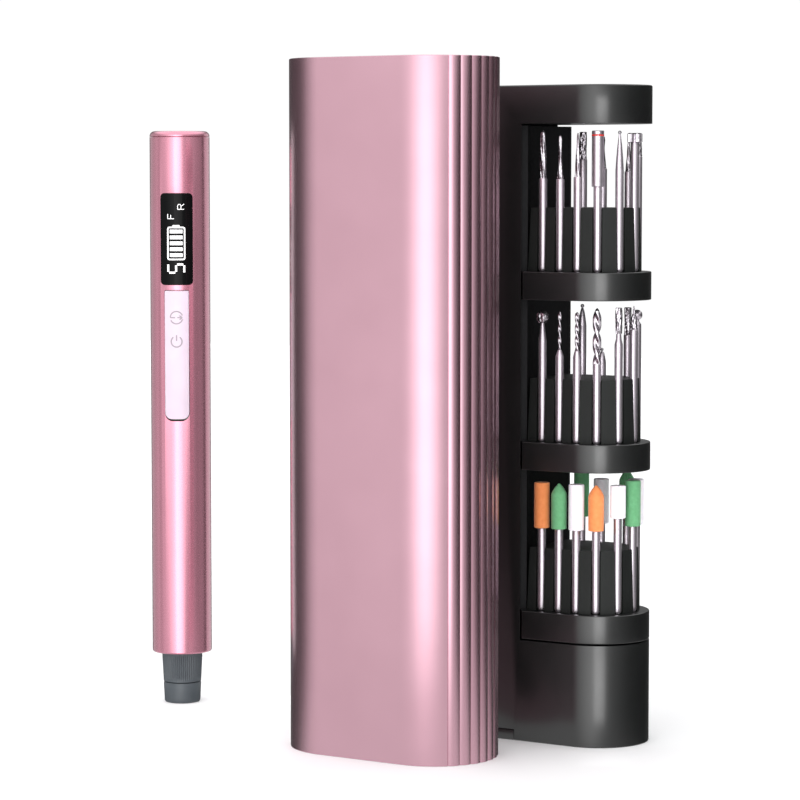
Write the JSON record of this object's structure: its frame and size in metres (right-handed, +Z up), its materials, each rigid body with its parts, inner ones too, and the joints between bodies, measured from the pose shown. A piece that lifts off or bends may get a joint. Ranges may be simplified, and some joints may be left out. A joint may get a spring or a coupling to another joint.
{
  "type": "electric nail drill",
  "caption": "Slim cordless nail drill handpiece with a charging case: a pink metal sleeve that slides over a black rack of nail bits that swings out.",
  "frame": {"origin": "middle of the bottom of the whole set as it stands", "axes": "+Z up, +X along the long side of the case towards the bit rack, +Y to the back"},
  "size_m": [0.1602, 0.0766, 0.192],
  "materials": {
    "pink_anodised": "satin anodised pink aluminium",
    "black_plastic": "fine matte black ABS",
    "core_plastic": "matte dark grey ABS",
    "steel": "polished steel",
    "slate_plastic": "matte slate grey plastic",
    "display_black": "gloss black window",
    "key_white": "satin white plastic with a pink tint",
    "circuit_board": "green solder mask",
    "battery_wrap": "blue shrink wrap",
    "silicone_orange": "matte orange silicone polisher",
    "silicone_green": "matte green silicone polisher",
    "silicone_white": "matte white silicone polisher"
  },
  "bodies": {
    "rack": {"rack_frame": "black_plastic", "rack_base_plate": "black_plastic", "hinge_pin_lower": "steel", "hinge_pin_upper": "steel"},
    "cover": {"cover_sleeve": "pink_anodised", "cover_end_cap": "black_plastic"},
    "bit_rack": {"rack_spine": "black_plastic", "bit_tray_1": "black_plastic", "bit_tray_2": "black_plastic", "bit_tray_3": "black_plastic", "bit_core_1": "core_plastic", "bit_core_2": "core_plastic", "bit_core_3": "core_plastic"},
    "handpiece": {"pen_nose_tip": "slate_plastic", "pen_body_tube": "pink_anodised", "pen_end_cap": "pink_anodised", "pen_usb_port": "steel", "pen_display_lens": "display_black", "pen_display_panel": "display_black", "pen_control_board": "circuit_board", "pen_key_switch": "circuit_board", "pen_battery": "battery_wrap", "pen_motor_can": "steel", "pen_front_bearing": "steel", "pen_rear_bearing": "steel"},
    "key": {"pen_key_strip": "key_white"},
    "collar": {"pen_lock_collar": "slate_plastic"},
    "spindle": {"pen_spindle": "steel", "pen_shaft_coupling": "steel", "pen_rotor_shaft": "steel"},
    "bit_1_01": {"bit_1_01_barrel": "steel"},
    "bit_1_02": {"bit_1_02_cone": "steel"},
    "bit_1_03": {"bit_1_03_cone": "steel"},
    "bit_1_04": {"bit_1_04_cylinder": "steel"},
    "bit_1_05": {"bit_1_05_flame": "steel"},
    "bit_1_06": {"bit_1_06_disc": "steel"},
    "bit_1_07": {"bit_1_07_barrel": "steel"},
    "bit_1_08": {"bit_1_08_cone": "steel"},
    "bit_1_09": {"bit_1_09_flame": "steel"},
    "bit_1_10": {"bit_1_10_cylinder": "steel"},
    "bit_2_01": {"bit_2_01_ball": "steel"},
    "bit_2_02": {"bit_2_02_drill": "steel"},
    "bit_2_03": {"bit_2_03_drill": "steel"},
    "bit_2_04": {"bit_2_04_drill": "steel"},
    "bit_2_05": {"bit_2_05_necked": "steel"},
    "bit_2_06": {"bit_2_06_cone": "steel"},
    "bit_2_07": {"bit_2_07_ball": "steel"},
    "bit_2_08": {"bit_2_08_cylinder": "steel"},
    "bit_2_09": {"bit_2_09_flame": "steel"},
    "bit_2_10": {"bit_2_10_drill": "steel"},
    "bit_3_01": {"bit_3_01_cylinder": "silicone_orange"},
    "bit_3_02": {"bit_3_02_ogive": "silicone_green"},
    "bit_3_03": {"bit_3_03_cylinder": "silicone_white"},
    "bit_3_04": {"bit_3_04_ogive": "silicone_orange"},
    "bit_3_05": {"bit_3_05_cylinder": "silicone_white"},
    "bit_3_06": {"bit_3_06_cylinder": "silicone_green"},
    "bit_3_07": {"bit_3_07_cylinder": "silicone_white"},
    "bit_3_08": {"bit_3_08_ogive": "silicone_green"},
    "bit_3_09": {"bit_3_09_cylinder": "silicone_white"},
    "bit_3_10": {"bit_3_10_cylinder": "silicone_green"}
  },
  "joints": [
    {"name": "bit_rack_swing", "type": "hinge", "parent": "rack", "child": "bit_rack", "pos_m": [0.04148, 0.03574, 0.1], "axis": [0, 0, 1], "range_deg": [0, 90]},
    {"name": "cover_lift", "type": "slide", "parent": "rack", "child": "cover", "axis": [0, 0, 1], "range_m": [0, 0.19]},
    {"name": "handpiece_lift", "type": "slide", "parent": "rack", "child": "handpiece", "axis": [0, 0, 1], "range_m": [0, 0.18]},
    {"name": "spindle_spin", "type": "hinge", "parent": "handpiece", "child": "spindle", "pos_m": [-0.07108, 0.01072, 0.04], "axis": [0, 0, 1], "continuous": true},
    {"name": "collar_twist", "type": "hinge", "parent": "handpiece", "child": "collar", "pos_m": [-0.07108, 0.01072, 0.01], "axis": [0, 0, 1], "range_deg": [0, 60]},
    {"name": "key_press", "type": "hinge", "parent": "handpiece", "child": "key", "pos_m": [-0.06714, 0.00353, 0.0875], "axis": [-0.8767, -0.481, 0], "range_deg": [0, 0.6], "stiffness_Nm_per_rad": 5},
    {"name": "bit_1_01_pull", "type": "slide", "parent": "bit_rack", "child": "bit_1_01", "axis": [0, -1, 0], "range_m": [0, 0.012]},
    {"name": "bit_1_02_pull", "type": "slide", "parent": "bit_rack", "child": "bit_1_02", "axis": [0, -1, 0], "range_m": [0, 0.012]},
    {"name": "bit_1_03_pull", "type": "slide", "parent": "bit_rack", "child": "bit_1_03", "axis": [0, -1, 0], "range_m": [0, 0.012]},
    {"name": "bit_1_04_pull", "type": "slide", "parent": "bit_rack", "child": "bit_1_04", "axis": [0.4305, -0.9026, 0], "range_m": [0, 0.012]},
    {"name": "bit_1_05_pull", "type": "slide", "parent": "bit_rack", "child": "bit_1_05", "axis": [0.8572, -0.515, 0], "range_m": [0, 0.012]},
    {"name": "bit_1_06_pull", "type": "slide", "parent": "bit_rack", "child": "bit_1_06", "axis": [0.999, 0.0436, 0], "range_m": [0, 0.012]},
    {"name": "bit_1_07_pull", "type": "slide", "parent": "bit_rack", "child": "bit_1_07", "axis": [0.809, 0.5878, 0], "range_m": [0, 0.012]},
    {"name": "bit_1_08_pull", "type": "slide", "parent": "bit_rack", "child": "bit_1_08", "axis": [0.3502, 0.9367, 0], "range_m": [0, 0.012]},
    {"name": "bit_1_09_pull", "type": "slide", "parent": "bit_rack", "child": "bit_1_09", "axis": [0, 1, 0], "range_m": [0, 0.012]},
    {"name": "bit_1_10_pull", "type": "slide", "parent": "bit_rack", "child": "bit_1_10", "axis": [0, 1, 0], "range_m": [0, 0.012]},
    {"name": "bit_2_01_pull", "type": "slide", "parent": "bit_rack", "child": "bit_2_01", "axis": [0, -1, 0], "range_m": [0, 0.012]},
    {"name": "bit_2_02_pull", "type": "slide", "parent": "bit_rack", "child": "bit_2_02", "axis": [0, -1, 0], "range_m": [0, 0.012]},
    {"name": "bit_2_03_pull", "type": "slide", "parent": "bit_rack", "child": "bit_2_03", "axis": [0, -1, 0], "range_m": [0, 0.012]},
    {"name": "bit_2_04_pull", "type": "slide", "parent": "bit_rack", "child": "bit_2_04", "axis": [0.4305, -0.9026, 0], "range_m": [0, 0.012]},
    {"name": "bit_2_05_pull", "type": "slide", "parent": "bit_rack", "child": "bit_2_05", "axis": [0.8572, -0.515, 0], "range_m": [0, 0.012]},
    {"name": "bit_2_06_pull", "type": "slide", "parent": "bit_rack", "child": "bit_2_06", "axis": [0.999, 0.0436, 0], "range_m": [0, 0.012]},
    {"name": "bit_2_07_pull", "type": "slide", "parent": "bit_rack", "child": "bit_2_07", "axis": [0.809, 0.5878, 0], "range_m": [0, 0.012]},
    {"name": "bit_2_08_pull", "type": "slide", "parent": "bit_rack", "child": "bit_2_08", "axis": [0.3502, 0.9367, 0], "range_m": [0, 0.012]},
    {"name": "bit_2_09_pull", "type": "slide", "parent": "bit_rack", "child": "bit_2_09", "axis": [0, 1, 0], "range_m": [0, 0.012]},
    {"name": "bit_2_10_pull", "type": "slide", "parent": "bit_rack", "child": "bit_2_10", "axis": [0, 1, 0], "range_m": [0, 0.012]},
    {"name": "bit_3_01_pull", "type": "slide", "parent": "bit_rack", "child": "bit_3_01", "axis": [0, -1, 0], "range_m": [0, 0.012]},
    {"name": "bit_3_02_pull", "type": "slide", "parent": "bit_rack", "child": "bit_3_02", "axis": [0, -1, 0], "range_m": [0, 0.012]},
    {"name": "bit_3_03_pull", "type": "slide", "parent": "bit_rack", "child": "bit_3_03", "axis": [0, -1, 0], "range_m": [0, 0.012]},
    {"name": "bit_3_04_pull", "type": "slide", "parent": "bit_rack", "child": "bit_3_04", "axis": [0.4305, -0.9026, 0], "range_m": [0, 0.012]},
    {"name": "bit_3_05_pull", "type": "slide", "parent": "bit_rack", "child": "bit_3_05", "axis": [0.8572, -0.515, 0], "range_m": [0, 0.012]},
    {"name": "bit_3_06_pull", "type": "slide", "parent": "bit_rack", "child": "bit_3_06", "axis": [0.999, 0.0436, 0], "range_m": [0, 0.012]},
    {"name": "bit_3_07_pull", "type": "slide", "parent": "bit_rack", "child": "bit_3_07", "axis": [0.809, 0.5878, 0], "range_m": [0, 0.012]},
    {"name": "bit_3_08_pull", "type": "slide", "parent": "bit_rack", "child": "bit_3_08", "axis": [0.3502, 0.9367, 0], "range_m": [0, 0.012]},
    {"name": "bit_3_09_pull", "type": "slide", "parent": "bit_rack", "child": "bit_3_09", "axis": [0, 1, 0], "range_m": [0, 0.012]},
    {"name": "bit_3_10_pull", "type": "slide", "parent": "bit_rack", "child": "bit_3_10", "axis": [0, 1, 0], "range_m": [0, 0.012]}
  ]
}
